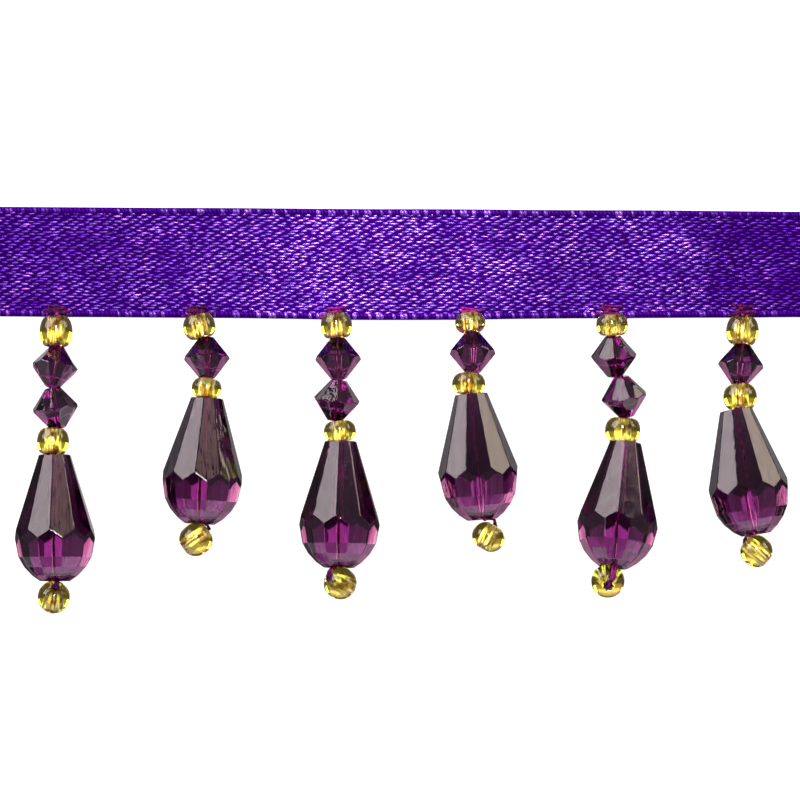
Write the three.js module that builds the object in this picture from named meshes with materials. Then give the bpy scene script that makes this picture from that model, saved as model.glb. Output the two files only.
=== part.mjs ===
// A cut length of satin ribbon trimmed with drops of faceted beads, lying face up on a flat surface.
// Millimetres, +Z up: the ribbon runs along X and its drops lie towards -Y.
// Each drop is strung on its own thread, which is sewn to the ribbon's lower edge and ends in the last seed.
import * as THREE from "three";

// Ribbon
const RIBBON_LENGTH = 77;
const RIBBON_THICK = 1;
const SELVEDGE_WIDE = 0.7;
const SELVEDGE_RISE = 0.12;
const SELVEDGE_WIDEST_AT = 0.4;
const SELVEDGE_CURVE_STEPS = 3;
const RIBBON_STEPS = 44;

// Drops: their even spacing, and the gap that is left between neighbouring solids
const DROP_PITCH = 12.7;
const GAP = 0.3;
const START_HEIGHT = 1.8;
const LAPPED_START_HEIGHT = 2.75;
const STEEPEST_PITCH = 30;
const PITCH_TOLERANCE = 0.001;

// Teardrop beads: lengths are counted down from the narrow end
const TEARDROP_LONG = 11.75;
const TEARDROP_FACETS = 10;
const TEARDROP_TOP_RADIUS = 1.5;
const TEARDROP_GIRDLE_RADIUS = 3.7;
const LONG_EDGE_END = 7.0;
const LONG_FACET_TIP = 7.76;
const GIRDLE_END = 9.45;
const CLOSING_TURN = 10.4;
const CLOSING_TURN_RADIUS = 2.88;
const CLOSING_END = 11.2;
const CLOSING_END_RADIUS = 2.12;
const TEARDROP_FOOT_RADIUS = 1.4;
const TEARDROP_DISH_DEEP = 0.7;
const TEARDROP_BORE = 0.65;

// Bicone beads
const BICONE_LONG = 3.85;
const BICONE_FACETS = 8;
const BICONE_RADIUS = 2.15;
const BICONE_END_RADIUS = 0.82;
const BICONE_BORE = 0.6;

// Seed beads, short rounded tubes of glass
const SEED_BORE = 0.5;
const SEED_SIDES = 14;
const SEED_PROFILE_POINTS = 10;
const SEED_SQUARENESS = 2.6;
const END_SEED_SQUARENESS = 2.2;

// Thread, of four sides
const THREAD_WIDE = 0.22;
const THREAD_STEPS = 80;
const THREAD_CLEARANCE = 0.15;
const WRAP_STEPS = 4;
const TACK_LONG = 2.2;
const TACK_UP = 0.9;

// The ribbon's two long edges: at is a place along it, and low and high are where its edges lie there.
const RIBBON_EDGES = [
  { at: -38.5, low: 0.12, high: 10.3 },
  { at: -20, low: 0.0, high: 10.2 },
  { at: 0, low: -0.22, high: 10.08 },
  { at: 20, low: -0.04, high: 9.98 },
  { at: 38.5, low: 0.05, high: 9.84 },
];

// One row for each drop, from the left.
// shift: how far along the ribbon it is sewn from its even place.
// lap: how far its top seed lies over the ribbon.
// Each bead's lean is in degrees, to the right as it goes down, and a seed also has its width and its length.
// A bicone's tilt and nod are how much further it leans and rises than the thread, and its roll turns it about it.
// The beads sit loosely: aside is how far one lies to the right of the thread.
// bodyHeight: how high the teardrop's narrow end is held. bodyRoll: 0 turns an edge of it up, and 18 a facet.
// The end seed is a stop, which lies across the thread: endDown and endShift give its middle, below the
// teardrop's end and to the right of its axis, and endLean and endTip are where the thread goes through it.
const DROPS = [
  {
    shift: -0.08, lap: 0, topWide: 3.1, topLong: 2.78, topLean: -0.8,
    bicones: [
      { lean: -4.2, tilt: -2, nod: 9, roll: 10, aside: 0.1 },
      { lean: 5.9, tilt: 1.5, nod: -8, roll: -8, aside: 0.08 },
    ],
    midWide: 3.0, midLong: 2.41, midLean: -3.1, midAside: -0.25,
    bodyHeight: 3.4, bodyLean: 0.2, bodyAside: 0, bodyRoll: -4,
    endWide: 2.98, endLong: 2.8, endDown: 1.42, endShift: -0.12, endLean: -12, endTip: -42,
  },
  {
    shift: 0.25, lap: 0.2, topWide: 3.02, topLong: 2.15, topLean: 13.1,
    bicones: [{ lean: 8, tilt: -6.5, nod: 5, roll: 20, aside: 0.2 }],
    midWide: 2.8, midLong: 1.75, midLean: -6, midAside: 0,
    bodyHeight: 3.5, bodyLean: -3.4, bodyAside: 0.15, bodyRoll: -9,
    endWide: 3.05, endLong: 2.85, endDown: 1.38, endShift: -0.25, endLean: -54, endTip: 0,
  },
  {
    shift: 0.38, lap: 0.58, topWide: 2.93, topLong: 2.31, topLean: 4.6,
    bicones: [
      { lean: 2, tilt: -1, nod: 8, roll: 22, aside: 0 },
      { lean: 0, tilt: -6.2, nod: -6, roll: 3, aside: -0.2 },
    ],
    midWide: 3.0, midLong: 1.87, midLean: 5.5, midAside: 0,
    bodyHeight: 3.3, bodyLean: -0.9, bodyAside: 0, bodyRoll: -4,
    endWide: 3.02, endLong: 2.8, endDown: 1.35, endShift: 0.15, endLean: 62, endTip: -30,
  },
  {
    shift: 0.09, lap: 0.55, topWide: 2.82, topLong: 1.75, topLean: 3.4,
    bicones: [{ lean: 0.5, tilt: 0, nod: 11, roll: 22, aside: 0.15 }],
    midWide: 3.1, midLong: 1.88, midLean: -2, midAside: -0.2,
    bodyHeight: 3.6, bodyLean: 5.1, bodyAside: 0.05, bodyRoll: 18,
    endWide: 3.1, endLong: 2.45, endDown: 1.58, endShift: 0.42, endLean: -30, endTip: 0,
  },
  {
    shift: 0.52, lap: 0.36, topWide: 2.96, topLong: 2.0, topLean: 2.1,
    bicones: [
      { lean: 5.1, tilt: -2, nod: -6, roll: 0, aside: -0.04 },
      { lean: 13.4, tilt: -4.7, nod: -8, roll: 14, aside: 0.28 },
    ],
    midWide: 3.3, midLong: 2.32, midLean: -3, midAside: -0.22,
    bodyHeight: 2.45, bodyLean: -6, bodyAside: 0.12, bodyRoll: -2,
    endWide: 3.1, endLong: 2.8, endDown: 1.28, endShift: -0.38, endLean: 180, endTip: -72,
  },
  {
    shift: 0.03, lap: 0, topWide: 3.06, topLong: 2.55, topLean: -3.8,
    bicones: [{ lean: -5.5, tilt: 0, nod: 0, roll: 22, aside: 0.1 }],
    midWide: 3.15, midLong: 2.25, midLean: 2, midAside: 0.15,
    bodyHeight: 3.35, bodyLean: 9, bodyAside: -0.3, bodyRoll: 18,
    endWide: 2.95, endLong: 2.75, endDown: 1.48, endShift: -0.2, endLean: 50, endTip: 0,
  },
];

const radians = THREE.MathUtils.degToRad;
const UP = new THREE.Vector3(0, 0, 1);
const DOWN_THE_BEAD = new THREE.Vector3(0, -1, 0);

const satin = new THREE.MeshStandardMaterial({ color: 0x46149a, roughness: 0.4, metalness: 0 });
const plumAcrylic = new THREE.MeshStandardMaterial({ color: 0x4a1556, roughness: 0.08, metalness: 0 });
const goldGlass = new THREE.MeshStandardMaterial({ color: 0xd8b530, roughness: 0.1, metalness: 0 });
const magentaThread = new THREE.MeshStandardMaterial({ color: 0x8c1660, roughness: 0.6, metalness: 0 });

function namedMesh(name, geometry, material) {
  const mesh = new THREE.Mesh(geometry, material);
  mesh.name = name;
  return mesh;
}

// The ribbon's lower or upper edge at a place along it, eased between the rows of the table.
function ribbonEdge(column, along) {
  const last = RIBBON_EDGES.length - 2;
  const found = RIBBON_EDGES.findIndex((row, i) => i <= last && along <= RIBBON_EDGES[i + 1].at);
  const left = RIBBON_EDGES[found < 0 ? last : found];
  const right = RIBBON_EDGES[(found < 0 ? last : found) + 1];
  const share = THREE.MathUtils.smoothstep(along, left.at, right.at);
  return THREE.MathUtils.lerp(left[column], right[column], share);
}

// The ribbon's cross-section, one unit wide: a flat sheet with a rounded, thicker selvedge at each edge.
function ribbonSection(wide) {
  const band = SELVEDGE_WIDE / wide;
  const crown = RIBBON_THICK + SELVEDGE_RISE;
  const section = new THREE.Shape();
  section.moveTo(band / 2, 0);
  section.lineTo(1 - band / 2, 0);
  section.quadraticCurveTo(1, 0, 1, SELVEDGE_WIDEST_AT);
  section.quadraticCurveTo(1, crown, 1 - band / 2, crown);
  section.quadraticCurveTo(1 - band, crown, 1 - band, RIBBON_THICK);
  section.lineTo(band, RIBBON_THICK);
  section.quadraticCurveTo(band, crown, band / 2, crown);
  section.quadraticCurveTo(0, crown, 0, SELVEDGE_WIDEST_AT);
  section.quadraticCurveTo(0, 0, band / 2, 0);
  return section;
}

function ribbon() {
  const wide = ribbonEdge("high", 0) - ribbonEdge("low", 0);
  const geometry = new THREE.ExtrudeGeometry(ribbonSection(wide), {
    depth: RIBBON_LENGTH,
    steps: RIBBON_STEPS,
    curveSegments: SELVEDGE_CURVE_STEPS,
    bevelEnabled: false,
  });
  const points = geometry.getAttribute("position");
  for (let i = 0; i < points.count; i++) {
    const along = points.getZ(i) - RIBBON_LENGTH / 2;
    const across = THREE.MathUtils.lerp(ribbonEdge("low", along), ribbonEdge("high", along), points.getX(i));
    points.setXYZ(i, along, across, points.getY(i));
  }
  return namedMesh("ribbon", geometry, satin);
}

// A closed geometry from flat polygons, each a ring of corners that runs anticlockwise seen from outside.
function fromPolygons(polygons) {
  const corners = [];
  for (const ring of polygons) {
    for (let i = 1; i + 1 < ring.length; i++) {
      corners.push(ring[0], ring[i], ring[i + 1]);
    }
  }
  return new THREE.BufferGeometry().setFromPoints(corners);
}

// A point on a bead about its own Y axis, at a place up it, counted in facets round from its front.
function beadCorner(facets, facet, up, radius) {
  const turn = (2 * Math.PI * facet) / facets;
  return new THREE.Vector3(radius * Math.sin(turn), up, radius * Math.cos(turn));
}

// A teardrop bead about its own Y axis, narrow end up: ten long facets that end in points, ten five-sided
// ones round the girdle, two rows of ten that close the round end and ten short ones at its foot, which is
// dished round the bore. The girdle's radii follow from its facets being flat.
function teardropGeometry() {
  const narrow = Math.cos(Math.PI / TEARDROP_FACETS);
  const longSlope = (TEARDROP_GIRDLE_RADIUS - TEARDROP_TOP_RADIUS) / LONG_EDGE_END;
  const tipRadius = (TEARDROP_TOP_RADIUS + longSlope * LONG_FACET_TIP) * narrow;
  const girdleSlope = (tipRadius * narrow - TEARDROP_GIRDLE_RADIUS) / (LONG_FACET_TIP - LONG_EDGE_END);
  const girdleEndRadius = (TEARDROP_GIRDLE_RADIUS + girdleSlope * (GIRDLE_END - LONG_EDGE_END)) / narrow;
  const trim = GAP / 2;
  const foot = TEARDROP_LONG - trim;

  const upAt = (down) => TEARDROP_LONG / 2 - down;
  const corner = (facet, down, radius) => beadCorner(TEARDROP_FACETS, facet, upAt(down), radius);
  const top = (k) => corner(k, trim, TEARDROP_TOP_RADIUS + longSlope * trim);
  const edgeEnd = (k) => corner(k, LONG_EDGE_END, TEARDROP_GIRDLE_RADIUS);
  const longTip = (k) => corner(k + 0.5, LONG_FACET_TIP, tipRadius);
  const girdleEnd = (k) => corner(k + 0.5, GIRDLE_END, girdleEndRadius);
  const turned = (k) => corner(k + 0.5, CLOSING_TURN, CLOSING_TURN_RADIUS);
  const closed = (k) => corner(k + 0.5, CLOSING_END, CLOSING_END_RADIUS);
  const bottom = (k) => corner(k + 0.5, foot, TEARDROP_FOOT_RADIUS);
  const boreTop = (k) => corner(k + 0.5, trim, TEARDROP_BORE);
  const boreBottom = (k) => corner(k + 0.5, foot - TEARDROP_DISH_DEEP, TEARDROP_BORE);

  const polygons = [];
  for (let k = 0; k < TEARDROP_FACETS; k++) {
    polygons.push(
      [top(k), edgeEnd(k), longTip(k), edgeEnd(k + 1), top(k + 1)],
      [edgeEnd(k), longTip(k - 1), girdleEnd(k - 1), girdleEnd(k), longTip(k)],
      [girdleEnd(k - 1), turned(k - 1), turned(k), girdleEnd(k)],
      [turned(k - 1), closed(k - 1), closed(k), turned(k)],
      [closed(k - 1), bottom(k - 1), bottom(k), closed(k)],
      [top(k), top(k + 1), boreTop(k)],
      [top(k), boreTop(k), boreTop(k - 1)],
      [bottom(k + 1), bottom(k), boreBottom(k), boreBottom(k + 1)],
      [boreTop(k), boreTop(k + 1), boreBottom(k + 1), boreBottom(k)],
    );
  }
  return fromPolygons(polygons);
}

// A bicone bead about its own Y axis: eight facets above and eight below, half a facet round from each other,
// so that they meet in a zigzag round its middle. Its slope and its zigzag follow from the facets being flat.
function biconeGeometry() {
  const half = (BICONE_LONG - GAP) / 2;
  const narrow = Math.cos(Math.PI / BICONE_FACETS);
  const flatRadius = (BICONE_RADIUS * (1 + narrow)) / 2;
  const slope = (flatRadius - BICONE_END_RADIUS * narrow) / half;
  const zigzag = (BICONE_RADIUS - flatRadius) / slope;

  const corner = (facet, up, radius) => beadCorner(BICONE_FACETS, facet, up, radius);
  const top = (k) => corner(k, half, BICONE_END_RADIUS);
  const upper = (k) => corner(k, zigzag, BICONE_RADIUS);
  const lower = (k) => corner(k + 0.5, -zigzag, BICONE_RADIUS);
  const bottom = (k) => corner(k + 0.5, -half, BICONE_END_RADIUS);
  const boreTop = (k) => corner(k, half, BICONE_BORE);
  const boreBottom = (k) => corner(k + 0.5, -half, BICONE_BORE);

  const polygons = [];
  for (let k = 0; k < BICONE_FACETS; k++) {
    polygons.push(
      [top(k), upper(k), lower(k), upper(k + 1), top(k + 1)],
      [upper(k), lower(k - 1), bottom(k - 1), bottom(k), lower(k)],
      [top(k), top(k + 1), boreTop(k + 1), boreTop(k)],
      [bottom(k + 1), bottom(k), boreBottom(k), boreBottom(k + 1)],
      [boreTop(k), boreTop(k + 1), boreBottom(k)],
      [boreTop(k + 1), boreBottom(k + 1), boreBottom(k)],
    );
  }
  return fromPolygons(polygons);
}

// A seed bead about its own Y axis: a ring of a rounded, squarish section.
function seedGeometry(wide, long) {
  const middle = (wide / 2 + SEED_BORE) / 2;
  const reach = (wide / 2 - SEED_BORE) / 2;
  const rounded = (value) => Math.sign(value) * Math.abs(value) ** (2 / SEED_SQUARENESS);
  const profile = [];
  for (let i = 0; i < SEED_PROFILE_POINTS; i++) {
    const turn = (2 * Math.PI * (i + 0.5)) / SEED_PROFILE_POINTS;
    const out = middle + reach * rounded(Math.cos(turn));
    profile.push(new THREE.Vector2(out, (long / 2) * rounded(Math.sin(turn))));
  }
  profile.push(profile[0].clone());
  return new THREE.LatheGeometry(profile, SEED_SIDES);
}

// An end seed about its own Y axis: a rounder bead than the others, a soft barrel with a bore.
function endSeedGeometry(wide, long) {
  const bluntness = END_SEED_SQUARENESS / 2;
  const lastTurn = Math.acos((SEED_BORE / (wide / 2)) ** bluntness);
  const poleHeight = long / 2 / Math.sin(lastTurn) ** (1 / bluntness);
  const profile = [];
  for (let i = 0; i < SEED_PROFILE_POINTS; i++) {
    const turn = lastTurn * ((2 * i) / (SEED_PROFILE_POINTS - 1) - 1);
    const up = Math.sign(turn) * poleHeight * Math.abs(Math.sin(turn)) ** (1 / bluntness);
    profile.push(new THREE.Vector2((wide / 2) * Math.cos(turn) ** (1 / bluntness), up));
  }
  profile.push(profile[0].clone());
  return new THREE.LatheGeometry(profile, SEED_SIDES);
}

// The direction down a bead that leans to the right by lean and rises by pitch, both in radians.
function beadDirection(lean, pitch) {
  const level = new THREE.Vector3(Math.sin(lean), -Math.cos(lean), 0);
  return level.multiplyScalar(Math.cos(pitch)).addScaledVector(UP, Math.sin(pitch));
}

// The level direction to the right of one that goes down a bead.
function rightOf(direction) {
  return UP.clone().cross(direction).normalize();
}

// Sets a bead's mesh on the thread: its middle at centre, along direction and turned by roll degrees.
function threadOn(mesh, centre, direction, roll) {
  mesh.position.copy(centre);
  mesh.quaternion.setFromUnitVectors(DOWN_THE_BEAD, direction);
  mesh.rotateY(radians(roll));
  mesh.updateMatrixWorld(true);
  return mesh;
}

// The pitch at which a bead that starts at entry just touches the surface, found by halving.
function restingPitch(mesh, entry, lean, roll, long) {
  let low = 0;
  let high = radians(STEEPEST_PITCH);
  while (high - low > radians(PITCH_TOLERANCE)) {
    const pitch = (low + high) / 2;
    const direction = beadDirection(lean, pitch);
    threadOn(mesh, entry.clone().addScaledVector(direction, long / 2), direction, roll);
    const bottom = new THREE.Box3().setFromObject(mesh, true).min.z;
    if (bottom < 0) low = pitch;
    else high = pitch;
  }
  return high;
}

// The beads of one drop in their order down the thread, which goes evenly from startHeight to the teardrop's
// narrow end, but nowhere so low that a bicone could not lie under it.
// inset: how far in from a bead's ends the thread runs true in its bore.
function beadsOf(row, prefix, startHeight) {
  const seed = (name, wide, long, lean, aside) => ({
    name, long, lean, aside, tilt: 0, nod: 0, roll: 0, inset: GAP,
    geometry: seedGeometry(wide, long - GAP), material: goldGlass,
  });
  const bicone = (turned, i) => ({
    ...turned, name: `bicone_${i + 1}`, long: BICONE_LONG, inset: GAP,
    geometry: biconeGeometry(), material: plumAcrylic,
  });
  const topSeed = seed("top_seed", row.topWide, row.topLong, row.topLean, 0);
  const midSeed = seed("mid_seed", row.midWide, row.midLong, row.midLean, row.midAside);
  const teardrop = {
    name: "teardrop", long: TEARDROP_LONG, inset: TEARDROP_DISH_DEEP + GAP,
    lean: row.bodyLean, aside: row.bodyAside, tilt: 0, nod: 0, roll: row.bodyRoll,
    geometry: teardropGeometry(), material: plumAcrylic,
  };
  const above = [topSeed, ...row.bicones.map(bicone), midSeed];
  above.forEach((bead, i) => {
    const even = THREE.MathUtils.lerp(startHeight, row.bodyHeight, (i + 1) / above.length);
    bead.endHeight = bead === midSeed ? row.bodyHeight : Math.max(even, BICONE_RADIUS);
  });
  const beads = [...above, teardrop];
  for (const bead of beads) {
    bead.mesh = namedMesh(`${prefix}_${bead.name}`, bead.geometry, bead.material);
  }
  return beads;
}

// The end seed lies askew in the dish of the teardrop's foot.
// Returns its mesh and the points that the thread follows, round it from the bore and into its hole.
function endSeed(row, prefix, exit, direction) {
  const half = row.endLong / 2;
  const hole = beadDirection(radians(row.endLean), radians(row.endTip));
  const centre = exit.clone().addScaledVector(direction, row.endDown);
  centre.addScaledVector(rightOf(direction), row.endShift);
  const mesh = namedMesh(`${prefix}_end_seed`, endSeedGeometry(row.endWide, row.endLong), goldGlass);
  threadOn(mesh, centre, hole, 0);

  const back = exit.clone().addScaledVector(direction, -TEARDROP_DISH_DEEP).sub(centre).normalize();
  const mouth = hole.clone().negate();
  const swing = back.angleTo(mouth);
  const swingAxis = back.clone().cross(mouth).normalize();
  const wrapRadius = row.endWide / 2 + THREAD_CLEARANCE + THREAD_WIDE / 2;
  const lead = [];
  for (let i = 0; i <= WRAP_STEPS; i++) {
    const way = back.clone().applyAxisAngle(swingAxis, (swing * i) / (WRAP_STEPS + 1));
    lead.push(centre.clone().addScaledVector(way, wrapRadius));
  }
  const inHole = (along) => centre.clone().addScaledVector(hole, along);
  return { mesh, lead: [...lead, inHole(-half), inHole(0), inHole(half - GAP)] };
}

// The thread of one drop: a short stitch along the ribbon's face, over the edge and down the beads.
function thread(prefix, points) {
  const half = THREAD_WIDE / 2;
  const section = new THREE.Shape([
    new THREE.Vector2(-half, -half),
    new THREE.Vector2(half, -half),
    new THREE.Vector2(half, half),
    new THREE.Vector2(-half, half),
  ]);
  const geometry = new THREE.ExtrudeGeometry(section, {
    extrudePath: new THREE.CatmullRomCurve3(points, false, "centripetal"),
    steps: THREAD_STEPS,
  });
  return namedMesh(`${prefix}_thread`, geometry, magentaThread);
}

function drop(row, index) {
  const prefix = `drop_${index + 1}`;
  const sewnAt = (index - (DROPS.length - 1) / 2) * DROP_PITCH + row.shift;
  const edge = ribbonEdge("low", sewnAt);
  const startHeight = row.lap > 0 ? LAPPED_START_HEIGHT : START_HEIGHT;
  const faceHeight = RIBBON_THICK + GAP + THREAD_WIDE / 2;
  const entry = new THREE.Vector3(sewnAt, edge + row.lap, startHeight);
  const path = [
    new THREE.Vector3(sewnAt - TACK_LONG / 2, edge + TACK_UP + row.lap, faceHeight),
    new THREE.Vector3(sewnAt, edge + TACK_UP + row.lap, faceHeight),
  ];
  const group = new THREE.Group();
  let direction = DOWN_THE_BEAD;
  for (const bead of beadsOf(row, prefix, startHeight)) {
    const lean = radians(bead.lean);
    const pitch = bead.endHeight === undefined
      ? restingPitch(bead.mesh, entry, lean, bead.roll, bead.long)
      : Math.asin((bead.endHeight - entry.z) / bead.long);
    direction = beadDirection(lean, pitch);
    const centre = entry.clone().addScaledVector(direction, bead.long / 2);
    centre.addScaledVector(rightOf(direction), bead.aside);
    const way = beadDirection(lean + radians(bead.tilt), pitch + radians(bead.nod));
    const inBore = way.clone().multiplyScalar(bead.long / 2 - bead.inset);
    group.add(threadOn(bead.mesh, centre, way, bead.roll));
    path.push(centre.clone().sub(inBore), centre.clone().add(inBore));
    entry.addScaledVector(direction, bead.long);
  }
  const exit = entry.addScaledVector(rightOf(direction), row.bodyAside);
  const { mesh, lead } = endSeed(row, prefix, exit, direction);
  group.add(mesh, thread(prefix, [...path, ...lead]));
  return group;
}

// The whole trimming, with its origin moved to the middle of its underside.
const beadedFringe = new THREE.Group();
beadedFringe.add(ribbon(), ...DROPS.map(drop));
const reach = new THREE.Box3().setFromObject(beadedFringe, true);
const middle = reach.getCenter(new THREE.Vector3());
for (const piece of beadedFringe.children) {
  piece.position.x -= middle.x;
  piece.position.y -= middle.y;
}

export default beadedFringe;
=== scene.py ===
import math

import bmesh
import bpy
import numpy as np
from mathutils import Matrix, Vector


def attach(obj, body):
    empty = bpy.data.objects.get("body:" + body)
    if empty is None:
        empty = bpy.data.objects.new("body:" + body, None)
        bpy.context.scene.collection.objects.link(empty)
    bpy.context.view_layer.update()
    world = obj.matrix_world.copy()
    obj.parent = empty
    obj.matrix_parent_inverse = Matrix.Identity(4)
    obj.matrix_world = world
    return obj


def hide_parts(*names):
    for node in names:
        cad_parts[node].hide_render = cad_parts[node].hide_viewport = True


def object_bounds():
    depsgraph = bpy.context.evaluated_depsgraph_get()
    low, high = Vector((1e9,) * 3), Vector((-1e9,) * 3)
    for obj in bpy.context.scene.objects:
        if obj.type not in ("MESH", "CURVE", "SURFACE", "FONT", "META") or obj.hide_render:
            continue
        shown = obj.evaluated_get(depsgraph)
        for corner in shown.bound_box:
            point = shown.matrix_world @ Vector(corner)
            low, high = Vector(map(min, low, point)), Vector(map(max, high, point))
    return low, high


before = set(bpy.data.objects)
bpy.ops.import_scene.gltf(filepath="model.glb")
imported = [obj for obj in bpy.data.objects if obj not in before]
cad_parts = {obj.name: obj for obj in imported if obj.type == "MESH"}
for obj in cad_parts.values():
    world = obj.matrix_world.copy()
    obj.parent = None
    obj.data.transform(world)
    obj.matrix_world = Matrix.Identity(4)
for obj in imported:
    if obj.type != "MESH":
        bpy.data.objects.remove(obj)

cad_low, cad_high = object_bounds()


# Ribbon ground
# A cut length of single-face satin ribbon: one thin sheet of woven polyester, its two cut ends left plain.
# It lies flat with a faint ripple, and its lower edge is drawn up a little where each drop is sewn on.

MM = 0.001
DROPS = range(1, 7)
SHEET_THICK = 0.25 * MM
FACE_HEIGHT = 0.45 * MM
SHEET_STEPS_ALONG = 220
SHEET_STEPS_ACROSS = 30
DRAWN_UP = 0.3 * MM
DRAWN_WIDE = 2.4 * MM
DRAWN_FADE = 3
# Soft ridges and troughs in the sheet, in millimetres: the place along the ribbon, half the width, the
# rise, and how far the ridge has moved along by the time it reaches the upper edge.
RIPPLES = [
    {"at": -33, "half": 4.0, "rise": -0.10, "slant": 3.0},
    {"at": -24, "half": 5.0, "rise": 0.14, "slant": -4.0},
    {"at": -13, "half": 4.5, "rise": -0.08, "slant": 5.0},
    {"at": 2, "half": 8.0, "rise": 0.16, "slant": 6.0},
    {"at": 15, "half": 4.0, "rise": -0.10, "slant": -3.0},
    {"at": 24, "half": 3.5, "rise": 0.15, "slant": 6.0},
    {"at": 33, "half": 4.0, "rise": -0.08, "slant": 4.0},
]

# Points of a solid that agree to these decimal places of a metre, or to this distance, are taken as one.
STATION_PLACES = 6
CORNER_PLACES = 7
SAME_PLACE = 1e-6

ribbon_corners = np.array([v.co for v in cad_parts["ribbon"].data.vertices])
stations = np.unique(ribbon_corners[:, 0].round(STATION_PLACES))
at_station = [
    ribbon_corners[np.isclose(ribbon_corners[:, 0], x, atol=SAME_PLACE), 1] for x in stations
]
low_edge = [across.min() for across in at_station]
high_edge = [across.max() for across in at_station]
ribbon_start = stations[0]
ribbon_length = stations[-1] - stations[0]
ribbon_width = float(np.mean(high_edge) - np.mean(low_edge))


def bead_pose(node):
    """A bead's middle, its axis down the thread and its half length, from the corners of its solid."""
    corners = np.array([v.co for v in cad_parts[node].data.vertices])
    corners = np.unique(corners.round(CORNER_PLACES), axis=0)
    spread, ways = np.linalg.eigh(np.cov((corners - corners.mean(0)).T))
    # A bead is even about its axis, so the axis is the way whose spread stands apart from the other two.
    axis = ways[:, 0 if spread[1] - spread[0] > spread[2] - spread[1] else 2]
    axis = axis if axis[1] < 0 else -axis
    along = corners @ axis
    middle = corners.mean(0) + axis * ((along.min() + along.max()) / 2 - along.mean())
    return Vector(middle), Vector(axis), (along.max() - along.min()) / 2


def sewn_at(drop):
    """The place along the ribbon where a drop's thread goes into its top seed."""
    middle, axis, half = bead_pose(f"drop_{drop}_top_seed")
    return middle - axis * half


drop_places = [sewn_at(drop) for drop in DROPS]


def ribbon_face(x, share):
    """A point of the ribbon's face, at x along it and at a share of its width up from its lower edge."""
    low = np.interp(x, stations, low_edge)
    high = np.interp(x, stations, high_edge)
    height = FACE_HEIGHT
    for ripple in RIPPLES:
        centre = (ripple["at"] + ripple["slant"] * (share - 0.5)) * MM
        height += ripple["rise"] * MM * math.exp(-(((x - centre) / (ripple["half"] * MM)) ** 2))
    for place in drop_places:
        height += DRAWN_UP * math.exp(-(((x - place.x) / DRAWN_WIDE) ** 2)) * (1 - share) ** DRAWN_FADE
    return Vector((x, low + share * (high - low), height))


sheet_mesh = bpy.data.meshes.new("satin_ribbon_sheet")
sheet_shape = bmesh.new()
sheet_uv = sheet_shape.loops.layers.uv.new("UVMap")
sheet_points = {}
for i in range(SHEET_STEPS_ALONG + 1):
    for j in range(SHEET_STEPS_ACROSS + 1):
        x = ribbon_start + ribbon_length * i / SHEET_STEPS_ALONG
        sheet_points[i, j] = sheet_shape.verts.new(ribbon_face(x, j / SHEET_STEPS_ACROSS))
for i in range(SHEET_STEPS_ALONG):
    for j in range(SHEET_STEPS_ACROSS):
        ring = [(i, j), (i + 1, j), (i + 1, j + 1), (i, j + 1)]
        face = sheet_shape.faces.new([sheet_points[key] for key in ring])
        face.smooth = True
        for loop, (along, across) in zip(face.loops, ring):
            loop[sheet_uv].uv = (along / SHEET_STEPS_ALONG, across / SHEET_STEPS_ACROSS)
sheet_shape.to_mesh(sheet_mesh)
sheet_shape.free()


class Wire:
    """A socket in a node tree: sums on it add Math nodes, and node() adds any other kind of node."""

    def __init__(self, tree, socket=None):
        self.tree = tree
        self.socket = socket

    def node(self, kind, settings=None, inputs=None, output=0):
        """A new node, its settings set first and then its inputs, as a wire from one of its outputs."""
        made = self.tree.nodes.new(kind)
        for name, value in (settings or {}).items():
            if name == "stops":
                self.set_stops(made.color_ramp, value)
            else:
                setattr(made, name, value)
        for name, value in (inputs or {}).items():
            if isinstance(value, Wire):
                self.tree.links.new(value.socket, made.inputs[name])
            else:
                made.inputs[name].default_value = value
        return Wire(self.tree, made.outputs[output] if made.outputs else None)

    def set_stops(self, ramp, stops):
        """Gives a colour ramp its stops, each a place and a grey value."""
        ramp.interpolation = "EASE"
        while len(ramp.elements) < len(stops):
            ramp.elements.new(1.0)
        for element, (place, value) in zip(ramp.elements, stops):
            element.position = place
            element.color = (value, value, value, 1)

    def output(self, name):
        """A wire from another output of the same node."""
        return Wire(self.tree, self.socket.node.outputs[name])

    def math(self, operation, first, second=0.0):
        """A Math node on one or two numbers."""
        return self.node("ShaderNodeMath", {"operation": operation}, {0: first, 1: second})

    def mix(self, factor, first, second):
        """A colour between two others, from the colour sockets of a Mix node."""
        colours = {0: factor, 6: first, 7: second}
        return self.node("ShaderNodeMix", {"data_type": "RGBA"}, colours, output=2)

    def eased(self, value, start, end, low, high):
        """A value carried smoothly from low to high as it goes from start to end."""
        return self.node(
            "ShaderNodeMapRange",
            {"interpolation_type": "SMOOTHSTEP"},
            {"Value": value, "From Min": start, "From Max": end, "To Min": low, "To Max": high},
        )

    def ramp(self, factor, stops):
        """A number that follows given stops, each a place and a value."""
        return self.node("ShaderNodeValToRGB", {"stops": stops}, {"Fac": factor})

    def __add__(self, other):
        return self.math("ADD", self, other)

    def __radd__(self, other):
        return self.math("ADD", other, self)

    def __sub__(self, other):
        return self.math("SUBTRACT", self, other)

    def __rsub__(self, other):
        return self.math("SUBTRACT", other, self)

    def __mul__(self, other):
        return self.math("MULTIPLY", self, other)

    def __rmul__(self, other):
        return self.math("MULTIPLY", other, self)

    def __truediv__(self, other):
        return self.math("DIVIDE", self, other)

    def __rtruediv__(self, other):
        return self.math("DIVIDE", other, self)


def new_material(name):
    """An empty material, and a wire to start its nodes from."""
    made = bpy.data.materials.new(name)
    made.use_nodes = True
    made.node_tree.nodes.clear()
    return made, Wire(made.node_tree)


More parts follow.
